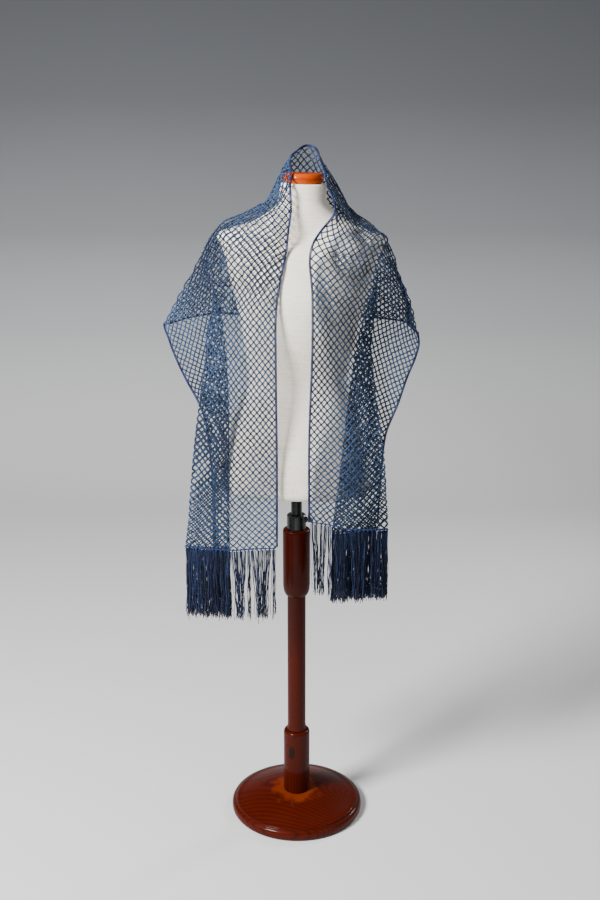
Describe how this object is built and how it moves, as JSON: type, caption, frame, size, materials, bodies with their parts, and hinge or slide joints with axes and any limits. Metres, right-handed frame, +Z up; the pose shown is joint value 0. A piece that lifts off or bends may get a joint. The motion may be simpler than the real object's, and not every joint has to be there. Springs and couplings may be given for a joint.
{
  "type": "net shawl on a dress form with a stand",
  "caption": "Rectangular knotted-net shawl with a crocheted edging and fringed ends, draped over a limbless linen dress form on a turned wooden stand.",
  "frame": {"origin": "centre of the base's underside, on the floor", "axes": "+Z up along the stand's pole, -Y the wearer's front, +X towards the wearer's left"},
  "size_m": [0.5582, 0.314, 1.5682],
  "materials": {
    "stained_pine": "turned pine with a mahogany stain and a gloss varnish",
    "orange_pine": "turned pine with an orange gloss varnish",
    "black_metal": "black enamelled steel",
    "form_linen": "stretched natural linen over a hard shell",
    "net_yarn": "matte blue cotton yarn, knotted net",
    "edging_yarn": "matte blue cotton yarn, crocheted",
    "fringe_yarn": "matte navy cotton yarn, loose plies"
  },
  "bodies": {
    "stand": {"base": "stained_pine", "socket": "stained_pine", "pole": "stained_pine", "sleeve": "stained_pine", "clamp_collar": "black_metal"},
    "dressed_form": {"rod": "black_metal", "form": "form_linen", "neck_cap": "orange_pine", "shawl_front_left": "net_yarn", "shawl_back": "net_yarn", "shawl_front_right": "net_yarn", "edging_neck": "edging_yarn", "edging_outer": "edging_yarn", "fringe_left": "fringe_yarn", "fringe_right": "fringe_yarn"},
    "screw": {"clamp_screw": "black_metal"}
  },
  "joints": [
    {"name": "height", "type": "slide", "parent": "stand", "child": "dressed_form", "axis": [0, 0, 1], "range_m": [-0.06, 0.1]},
    {"name": "clamp_turn", "type": "hinge", "parent": "stand", "child": "screw", "pos_m": [0.03, 0, 0.74], "axis": [1, 0, 0], "range_deg": [0, 360]}
  ]
}
